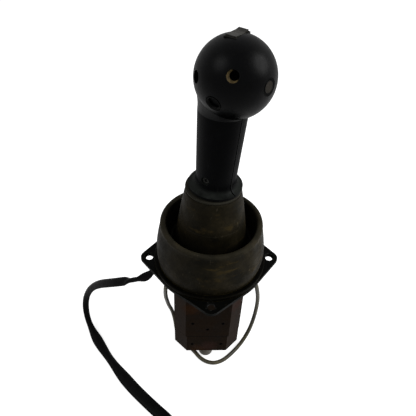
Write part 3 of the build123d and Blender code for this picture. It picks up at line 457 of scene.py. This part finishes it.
# ------------------------------------------------------------------ cords
cable_r = 0.00225
cable_z = floor_z + cable_r
harness_z = floor_z + 0.0035
plug_z = floor_z + 0.0065
cable_points = [
    (0.0423, -0.008, -0.009),
    (0.0423, -0.008, -0.014),
    (0.044, -0.0078, -0.0205),
    (0.050, -0.0065, -0.031),
    (0.054, -0.004, -0.048),
    (0.0567, -0.001, -0.0665),
    (0.057, 0, -0.085),
    (0.0555, -0.002, -0.0995),
    (0.0525, -0.0055, -0.113),
    (0.0482, -0.010, -0.122),
    (0.0423, -0.016, cable_z + 0.0025),
    (0.035, -0.0235, cable_z),
    (0.0263, -0.032, cable_z),
    (0.018, -0.038, cable_z),
    (0.0093, -0.0405, cable_z),
    (0.0005, -0.0388, cable_z),
    (-0.007, -0.0335, cable_z),
    (-0.0135, -0.0245, cable_z),
    (-0.0225, -0.0165, cable_z),
    (-0.031, -0.0088, cable_z),
    (-0.0346, 0.0027, cable_z + 0.0012),
    (-0.036, 0.011, -0.1265),
    (-0.038, 0.0163, -0.120),
    (-0.0405, 0.0188, -0.112),
    (-0.0436, 0.017, -0.101),
    (-0.045, 0.010, -0.083),
    (-0.046, 0.002, -0.062),
    (-0.045, -0.0055, -0.040),
    (-0.0428, -0.0077, -0.023),
    (-0.0423, -0.008, -0.014),
    (-0.0423, -0.008, -0.009),
]
harness_points = [
    (-0.0445, 0.005, -0.0055),
    (-0.0555, -0.0005, -0.017),
    (-0.066, -0.0035, -0.026),
    (-0.078, -0.0015, -0.032),
    (-0.091, 0.002, -0.039),
    (-0.105, 0.0075, -0.048),
    (-0.120, 0.0165, -0.061),
    (-0.131, 0.0225, -0.074),
    (-0.1395, 0.024, -0.089),
    (-0.143, 0.0205, -0.104),
    (-0.1415, 0.0125, -0.118),
    (-0.135, 0.001, harness_z + 0.0025),
    (-0.122, -0.0185, harness_z),
    (-0.1035, -0.0425, harness_z),
    (-0.082, -0.067, harness_z),
    (-0.057, -0.090, harness_z),
    (-0.037, -0.107, harness_z + 0.001),
    (-0.023, -0.124, plug_z),
    (-0.016, -0.141, plug_z),
]


def route(name, points):
    """Curve of a cord's route."""
    return nurbs(name, points, order=3, resolution=12)


def length_of(line):
    """Length of a line of points."""
    return sum((b - a).length for a, b in zip(line, line[1:]))


grey_cable = route("cable_sheath", cable_points)
grey_cable.data.bevel_depth = cable_r
grey_cable.data.bevel_resolution = 4
grey_cable.data.use_fill_caps = True
sheath = plain(
    "cable_sheath", (0.048, 0.043, 0.026), 0.45, gloss=0.20, patch=0.012, spread=0.65, grain=0.0009
)
grey_cable.data.materials.append(sheath)
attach(grey_cable, "valve")
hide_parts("grey_cable")
length_of(read_line(route("guide", cable_points)))

harness_line = read_line(route("guide", harness_points))


def swept(name, line, section):
    """Mesh tube along line; section(run, a) gives the two offsets at run metres along and at angle a."""
    rings, steps = [], 20
    up = Vector((0, 0, 1))
    run = 0.0
    for i, at in enumerate(line):
        ahead = line[min(i + 1, len(line) - 1)] - line[max(i - 1, 0)]
        ahead.normalize()
        side = (up - ahead * ahead.z).normalized()
        other = ahead.cross(side)
        if i:
            run += (at - line[i - 1]).length
        ring = []
        for k in range(steps):
            a = 2 * pi * k / steps
            out = section(run, a)
            ring.append(at + side * out[0] + other * out[1])
        rings.append(ring)
    points = [p for ring in rings for p in ring]
    faces = []
    for i in range(len(rings) - 1):
        for k in range(steps):
            n = (k + 1) % steps
            faces.append((i * steps + k, i * steps + n, (i + 1) * steps + n, (i + 1) * steps + k))
    faces.append(tuple(range(steps))[::-1])
    faces.append(tuple((len(rings) - 1) * steps + k for k in range(steps)))
    return add_mesh(name, points, faces, smooth=True)


strap_shape = [
    # metres along, half width and half thickness in mm, roll in degrees
    (0.000, 2.6, 2.6, 0),
    (0.018, 2.8, 2.4, -30),
    (0.030, 4.8, 2.0, -60),
    (0.045, 3.0, 2.6, -135),
    (0.058, 4.9, 2.0, -215),
    (0.095, 4.9, 2.0, -222),
    (0.125, 4.6, 2.0, -222),
    (0.150, 3.6, 2.6, -200),
    (0.172, 3.4, 2.8, -190),
    (0.198, 5.7, 2.4, -176),
    (0.226, 4.5, 2.9, -185),
    (0.262, 6.5, 2.3, -178),
    (0.315, 6.5, 2.4, -180),
    (0.345, 5.6, 2.4, -180),
    (0.400, 3.6, 3.0, -180),
]


def strap_section(run, a):
    """Flat taped bundle that twists as it hangs and lies flat on the floor, creased lengthwise."""
    for before, after in zip(strap_shape, strap_shape[1:]):
        if before[0] <= run <= after[0]:
            break
    share = (run - before[0]) / (after[0] - before[0])
    share = share * share * (3 - 2 * share)
    wide, thin, turned = (before[i] + (after[i] - before[i]) * share for i in (1, 2, 3))
    crease = 1 + 0.07 * sin(3 * a + run * 70) * sin(run * 130) + 0.04 * ((run * 110) % 1.0)
    u = thin * mm * sin(a) * crease
    v = wide * mm * cos(a)
    turned = radians(turned)
    return u * cos(turned) - v * sin(turned), u * sin(turned) + v * cos(turned)


harness = swept("harness_sleeve", harness_line, strap_section)
tape = plain(
    "harness_tape", (0.0014, 0.0014, 0.0015), 0.40, gloss=0.034, spread=0.5, grain=0.0016, depth=0.0003
)
harness.data.materials.append(tape)
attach(harness, "valve")
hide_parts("harness")

# ------------------------------------------------------------------ materials of the CAD pieces
dress(grip_plastic("ball_plastic", 0.038, 0.27, 0.40), "ball_shell")
dress(grip_plastic("neck_plastic", 0.016, 0.36, 0.44, seam=True), "neck_front_shell", "neck_rear_shell")
body_primer = primer(
    "body_primer",
    rust_at=(-0.018, body_face_y, -0.036),
    smudge_at=(0.029, -0.0295, -0.036),
    plugs=[(-0.0158, -0.0613), (0.0158, -0.0613), (0, -0.0719)],
)
block_primer = primer(
    "block_primer",
    rust_at=(-0.009, body_face_y, -0.111),
    smudge_at=(0.003, body_face_y, -0.104),
    plugs=[(-0.0159, -0.0998), (0.0159, -0.0998)],
)
flange_paint = worn_paint(
    "flange_paint", (0.0012, 0.0013, 0.0010), (0.024, 0.025, 0.022), gloss=0.02, holes_at=bolt_from_axis
)
ring_metal = worn_paint(
    "ring_metal", (0.0012, 0.0011, 0.0006), (0.042, 0.032, 0.008), wear=0.95, radius=0.0014, gloss=0.02
)
dress(body_primer, "valve_body")
dress(block_primer, "port_block")
dress(flange_paint, "mounting_flange")
dress(ring_metal, "clamp_ring")
rubber = plain("black_rubber", (0.0015, 0.0015, 0.0014), 0.6, gloss=0.03)
dress(rubber, "block_seals", "plunger_seals", "cable_grommets", "harness_outlet")
dress(plain("plug_black", (0.0003, 0.0002, 0.0002), 0.6, gloss=0.01), "gallery_plugs")
dress(plain("dark_steel", (0.0060, 0.0050, 0.0045), 0.5, gloss=0.15), "block_screws", "plate_screws")
steel = plain("steel", (0.42, 0.42, 0.41), 0.3, 1.0)
dress(
    steel,
    "guide_plate",
    "plunger_guides",
    "joint_base",
    "joint_spider",
    "joint_yoke",
    "actuating_disc",
    "disc_locknut",
    "lever_rod",
    "lever_nut",
    "rocker_pin",
    *[f"{part}_{side}" for side in sides for part in moving_parts],
)
switch_black = plain("switch_black", (0.0004, 0.0004, 0.0005), 0.28, gloss=0.012)
dress(switch_black, "side_switch", "low_button")


def facing(azimuth, elevation, distance):
    """Origin, right, up and outward directions of a plane on the ball."""
    level = grip_x * sin(radians(azimuth)) - grip_y * cos(radians(azimuth))
    out = (level * cos(radians(elevation)) + grip_up * sin(radians(elevation))).normalized()
    right = grip_up.cross(out).normalized()
    return ball_centre + out * distance, right, out.cross(right).normalized(), out


def cap_finish():
    """Beige cap stained by fingers, blackened along its edge as painted shade of the gap round it."""
    made, tree, shader = new_material("cap_grey", 0.5, Specular_IOR_Level=0.03)
    middle = facing(45.6, 6.4, 0.0294)[0]
    stains = mottle(tree, 0.003, 6)
    beige = ramp(tree, stains, (0.35, (0.0105, 0.0090, 0.0066)), (0.65, (0.0200, 0.0172, 0.0135)))
    # Painted shade: the cap's outer edge is blackened like the shaded gap round it.
    edge = ramp(tree, product(tree, away_from(tree, middle), 200), (0.78, 0.0), (0.84, 1.0))
    finish_with(tree, shader, mix(tree, edge, beige, (0.0004, 0.0004, 0.0004)))
    relief(tree, shader, mottle(tree, 0.0010, 3), 0.00004)
    return made


dress(cap_finish(), "side_button")
rocker_black = worn_paint("rocker_black", (0.0050, 0.0048, 0.0040), (0.030, 0.029, 0.025), gloss=0.03)
dress(rocker_black, "rocker_housing")


def paddle_finish():
    """Grey rubber pad: pale on its near part and dark on its far half, with dark specks."""
    made, tree, shader = new_material("rocker_grey", 0.5, Specular_IOR_Level=0.06)
    run = product(tree, calc(tree, "SUBTRACT", along(tree, grip_front), rocker_at.dot(grip_front)), 50)
    uneven = product(tree, calc(tree, "SUBTRACT", mottle(tree, 0.003, 6, 0.7), 0.5), 0.5)
    run = calc(tree, "ADD", calc(tree, "ADD", run, 0.5), uneven)
    tone = ramp(
        tree,
        run,
        (0.30, (0.0060, 0.0055, 0.0045)),
        (0.48, (0.0130, 0.0120, 0.0100)),
        (0.62, (0.0380, 0.0365, 0.0325)),
        (0.90, (0.0220, 0.0210, 0.0180)),
    )
    specks = ramp(tree, mottle(tree, 0.0016, 6, 0.7), (0.55, 0.0), (0.65, 0.8))
    finish_with(tree, shader, mix(tree, specks, tone, (0.0040, 0.0036, 0.0028)))
    relief(tree, shader, mottle(tree, 0.0010, 4), 0.00008)
    return made


dress(paddle_finish(), "rocker_paddle")
dress(plain("fitting_zinc", (0.090, 0.078, 0.060), 0.45, 0.2, gloss=0.2), "port_fittings", "fitting_washers")
dress(plain("plug_plastic", (0.0030, 0.0030, 0.0030), 0.4, gloss=0.2), "harness_plug")
dress(plain("contact_brass", (0.55, 0.42, 0.18), 0.3, 1.0), "plug_contacts")


# ------------------------------------------------------------------ rubber boot
half = 0.0012                               # half the rubber's wall
bead_z = 0.0530                             # the rim's bead swells round this height
bead_reach = 0.0035


def lathe(name, outline, steps=144):
    """Skin turned about the lever's axis from (radius, height) points; the rim sags to the front."""
    points, faces = [], []
    count = len(outline)
    for k in range(steps):
        a = 2 * pi * k / steps
        for radius, height in outline:
            at = Vector((radius * cos(a), radius * sin(a), height))
            swell = noise.noise(at * 45) * 0.0004
            rise = min(max((height - 0.030) / 0.022, 0.0), 1.0) if radius > 0.036 else 0.0
            at.z -= rim_sag * rise * rise * (3 - 2 * rise) * (0.5 - 0.5 * sin(a))
            points.append(at * (1 + swell / at.length))
    for k in range(steps):
        n = (k + 1) % steps
        for i in range(count - 1):
            faces.append((k * count + i, n * count + i, n * count + i + 1, k * count + i + 1))
    return add_mesh(name, points, faces, smooth=True)


def smooth_line(*controls):
    """Points along a NURBS line through (radius, height) controls."""
    curve = nurbs("line", [(radius, 0, height) for radius, height in controls], order=4, resolution=10)
    return [(at.x, at.z) for at in read_line(curve)]


wall = smooth_line(
    (0.0487, 0.0040), (0.0493, 0.0062), (0.0512, 0.0120), (0.0510, 0.0250), (0.0494, 0.0380), (0.0463, 0.0520)
)
cone = smooth_line(
    (0.0334, 0.0325), (0.0322, 0.0400), (0.0306, 0.0500), (0.0289, 0.0630), (0.0262, 0.0790), (0.0234, 0.0925)
)


def rounded(centre, radius, first, last, steps=12):
    """Arc of (radius, height) points between two angles in degrees."""
    made = []
    for i in range(steps + 1):
        a = radians(first + (last - first) * i / steps)
        made.append((centre[0] + radius * cos(a), centre[1] + radius * sin(a)))
    return made


def offset_line(line, by):
    """The line moved sideways, to the right of its direction if by is positive; thicker at the bead."""
    made = []
    for i, (radius, height) in enumerate(line):
        before, after = line[max(i - 1, 0)], line[min(i + 1, len(line) - 1)]
        run, rise = after[0] - before[0], after[1] - before[1]
        size = (run * run + rise * rise) ** 0.5
        bead = 1 + 0.45 * max(0.0, 1 - abs(height - bead_z) / bead_reach) if radius > 0.040 else 1
        made.append((radius + rise / size * by * bead, height - run / size * by * bead))
    return made


def straight(first, last, steps=12):
    """Points between two (radius, height) points, without the ends."""
    return [tuple(a + (b - a) * i / steps for a, b in zip(first, last)) for i in range(1, steps)]


rim = rounded((0.0450, 0.0520), 0.0013, 0, 180)
trough = rounded((0.0374, 0.0325), 0.0040, 0, -180)
quarter = len(trough) // 2 + 1
cup_line = wall + rim[1:] + straight(rim[-1], trough[0]) + trough[:quarter]
cone_line = trough[quarter - 1:] + cone[1:]
upper_from = next(i for i, point in enumerate(cone_line) if point[1] > split_z)
cone_out = offset_line(cone_line, half)
cone_in = offset_line(cone_line, -half)
foot = [(0.0475, 0.0051), (0.0475, 0.0030), (0.0520, 0.0030), (0.0520, 0.0050), (0.0506, 0.0052)]
lip = [
    (0.0246, 0.0926),
    (0.0249, 0.0929),
    (0.0249, 0.0941),
    (0.0246, 0.0944),
    (0.0191, 0.0944),
    (0.0190, 0.0926),
    (0.0221, 0.0924),
]
rubber_boot = boot_rubber()
boot_cup = lathe("boot_cup", offset_line(cup_line, -half)[::-1] + foot + offset_line(cup_line, half))
boot_cone = lathe("boot_cone", cone_out[:upper_from + 1] + cone_in[:upper_from + 1][::-1])
boot_neck = lathe("boot_neck", cone_out[upper_from:] + lip + cone_in[upper_from:][::-1])
for piece in (boot_cup, boot_cone, boot_neck):
    piece.data.materials.append(rubber_boot)
    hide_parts("rubber_boot")
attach(boot_cup, "valve")
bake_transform(boot_cone)
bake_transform(boot_neck)


# ------------------------------------------------------------------ small pieces
def ringed(name, plane, rings, steps=48, capped=False):
    """Skin through rings of (radius, depth, shift right, shift up), measured inwards from the plane.

    A negative radius makes a hexagon that wide from its middle to its corners.
    """
    origin, right, up_way, out = plane
    points, faces = [], []
    for radius, depth, sideways, above in rings:
        for k in range(steps):
            a = 2 * pi * k / steps
            reach = radius if radius > 0 else -radius * cos(pi / 6) / cos(a % (pi / 3) - pi / 6)
            inwards = origin - out * depth
            points.append(inwards + right * (sideways + reach * cos(a)) + up_way * (above + reach * sin(a)))
    count = len(rings)
    for i in range(count - 1):
        for k in range(steps):
            n = (k + 1) % steps
            faces.append((i * steps + k, (i + 1) * steps + k, (i + 1) * steps + n, i * steps + n))
    if capped:
        faces.append(tuple(range(steps)))
        faces.append(tuple((count - 1) * steps + k for k in range(steps))[::-1])
    return add_mesh(name, points, faces)


mouth = facing(-10.5, 23.9, 0.0291)
sleeve = ringed(
    "sleeve_liner",
    mouth,
    [
        (4.7 * mm, 9.0 * mm, 0, 0),
        (4.7 * mm, 0.0, 0, 0),
        (4.45 * mm, 0.0, 0, 0),
        (4.35 * mm, 0.15 * mm, 0, 0),
        (4.25 * mm, 0.5 * mm, 0.05 * mm, 0.05 * mm),
        (3.35 * mm, 1.7 * mm, 0.72 * mm, 0.50 * mm),
        (3.2 * mm, 1.9 * mm, 0.85 * mm, 0.60 * mm),
        (3.2 * mm, 9.0 * mm, 0.85 * mm, 0.60 * mm),
        (4.7 * mm, 9.0 * mm, 0, 0),
    ],
)


def sleeve_finish():
    """Stained cream moulding inside a black mouth, with painted shade further in and a painted shadow over
    its upper right.
    """
    made, tree, shader = new_material("sleeve_cream", 0.6, Specular_IOR_Level=0.1)
    middle, right, up_way, out = mouth
    depth = product(tree, calc(tree, "SUBTRACT", middle.dot(out), along(tree, out)), 1 / mm)
    cream = ramp(tree, mottle(tree, 0.003, 6), (0.35, (0.040, 0.027, 0.010)), (0.65, (0.100, 0.072, 0.030)))
    # Painted shade: the sleeve is blackened further in.
    inner_shade = ramp(tree, calc(tree, "DIVIDE", depth, 3), (0.56, 0.0), (0.62, 1.0))
    inner = mix(tree, inner_shade, cream, (0.0004, 0.0003, 0.0002))
    # Painted shadow of the hole's edge across the sleeve's upper right.
    corner = (right * 0.80 + up_way * 0.60).normalized()
    shade = product(tree, calc(tree, "SUBTRACT", along(tree, corner), middle.dot(corner)), 200)
    inner = mix(tree, ramp(tree, shade, (0.20, 0.0), (0.40, 1.0)), inner, (0.0005, 0.0004, 0.0003))
    colour = mix(tree, ramp(tree, depth, (0.10, 1.0), (0.35, 0.0)), inner, (0.0006, 0.0006, 0.0006))
    finish_with(tree, shader, colour)
    relief(tree, shader, mottle(tree, 0.0008, 4), 0.00004)
    return made


low_mouth = facing(-34.5, -19.1, 0.030)
low_ring = ringed(
    "low_switch_ring",
    low_mouth,
    [
        (6.15 * mm, 15.4 * mm, 0, 0),
        (6.15 * mm, 1.3 * mm, 0, 0),
        (5.55 * mm, 1.3 * mm, 0, 0),
        (5.5 * mm, 0.5 * mm, 0, 0),
        (5.35 * mm, 0.3 * mm, 0, 0),
        (4.85 * mm, 0.3 * mm, 0, 0),
        (4.65 * mm, 0.6 * mm, 0, 0),
        (4.85 * mm, 0.9 * mm, 0, 0),
        (4.60 * mm, 1.2 * mm, 0, 0),
        (4.85 * mm, 1.5 * mm, 0, 0),
        (4.60 * mm, 1.8 * mm, 0, 0),
        (4.85 * mm, 2.1 * mm, 0, 0),
        (4.60 * mm, 2.4 * mm, 0, 0),
        (4.60 * mm, 6.0 * mm, 0, 0),
        (2.2 * mm, 6.0 * mm, 0, 0),
        (2.2 * mm, 15.4 * mm, 0, 0),
        (6.15 * mm, 15.4 * mm, 0, 0),
    ],
)
ring_paint = worn_paint(
    "low_ring", (0.0010, 0.0010, 0.0010), (0.020, 0.020, 0.019), radius=0.0005, wear=0.9, gloss=0.02
)
low_ring.data.materials.append(ring_paint)
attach(low_ring, "handle")
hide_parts("low_switch")

screw_seat = grip_origin + grip_up * 0.049 + grip_front * 0.0164
screw = ringed(
    "clamp_screw",
    (screw_seat, grip_seam, grip_up, grip_front),
    [
        (1.75 * mm, 14.2 * mm, 0, 0),
        (1.75 * mm, 5.4 * mm, 0, 0),
        (3.25 * mm, 5.4 * mm, 0, 0),
        (3.25 * mm, 0.5 * mm, 0, 0),
        (3.1 * mm, 0.15 * mm, 0, 0),
        (2.8 * mm, 0.0, 0, 0),
        (2.0 * mm, 0.0, 0, 0),
        (-1.85 * mm, 0.15 * mm, 0, 0),
        (-1.85 * mm, 2.2 * mm, 0, 0),
        (0.02 * mm, 3.0 * mm, 0, 0),
    ],
    capped=True,
)
screw_steel = worn_paint(
    "clamp_screw", (0.0070, 0.0070, 0.0064), (0.130, 0.130, 0.120), wear=1.0, radius=0.0006, gloss=0.05
)
screw.data.materials.append(screw_steel)
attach(screw, "handle")
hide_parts("neck_screw")

sleeve.data.materials.append(sleeve_finish())
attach(sleeve, "handle")
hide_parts("button_sleeve")


# ------------------------------------------------------------------ floor, light and camera
def background_ray(tree):
    """1 for rays that show the background: from the camera, or by way of gloss or glass."""
    rays = node(tree, "ShaderNodeLightPath").outputs
    shown = calc(tree, "MAXIMUM", rays["Is Camera Ray"], rays["Is Glossy Ray"])
    return calc(tree, "MAXIMUM", shown, rays["Is Transmission Ray"])


def floor_and_world():
    """Pale floor that the camera sees as white, and an even sky."""
    bpy.ops.mesh.primitive_plane_add(size=12, location=(0, 0, floor_z))
    ground = bpy.context.object
    ground.name = "floor"
    made, tree, shader = new_material("floor", 0.9, Specular_IOR_Level=0.0)
    shader.inputs["Base Color"].default_value = (0.60, 0.60, 0.60, 1)
    glow = node(tree, "ShaderNodeEmission")
    glow.inputs["Color"].default_value = (1, 1, 1, 1)
    tree.links.new(product(tree, background_ray(tree), 0.80), glow.inputs["Strength"])
    both = node(tree, "ShaderNodeAddShader", {0: shader.outputs[0], 1: glow.outputs[0]})
    tree.links.new(both.outputs[0], tree.nodes["Material Output"].inputs["Surface"])
    ground.data.materials.append(made)
    world = bpy.data.worlds.new("studio")
    bpy.context.scene.world = world
    world.use_nodes = True
    sky = world.node_tree.nodes["Background"]
    sky.inputs["Color"].default_value = (1, 1, 1, 1)
    level = calc(world.node_tree, "MULTIPLY_ADD", background_ray(world.node_tree), 0.65)
    level.node.inputs[2].default_value = 0.35
    world.node_tree.links.new(level, sky.inputs["Strength"])


def lamp(name, azimuth, elevation, distance, size, level):
    """Disk lamp that lights a surface facing it to the given level; azimuth 0 is in front."""
    a, e = radians(azimuth), radians(elevation)
    away = Vector((sin(a) * cos(e), -cos(a) * cos(e), sin(e)))
    data = bpy.data.lights.new(name, "AREA")
    data.shape = "DISK"
    data.size = size
    data.energy = level * (pi * distance) ** 2
    made = add_object(name, data)
    made.location = Vector((0, 0, 0.08)) + away * distance
    made.rotation_mode = "QUATERNION"
    made.rotation_quaternion = (-away).to_track_quat("-Z", "Y")


floor_and_world()
lamp("left", -66, 47, 1.2, 0.6, 0.32)
lamp("right", 84, 36, 1.2, 0.8, 0.95)

camera_data = bpy.data.cameras.new("camera")
camera_data.sensor_width = 36
camera_data.lens = 37.21
camera = add_object("camera", camera_data)
camera_at = Matrix.Translation((-0.02112, -0.29320, 0.32375))
right = Vector((0.998953, -0.025160, 0.03809))
up = Vector((-0.012155, 0.657689, 0.75313))
ahead = Vector((0.044001, 0.752815, -0.6567))
camera.matrix_world = camera_at @ Matrix((right, up, -ahead)).transposed().to_4x4()
camera_data.clip_start = 0.01
bpy.context.scene.camera = camera
bpy.context.scene.view_settings.view_transform = "Standard"
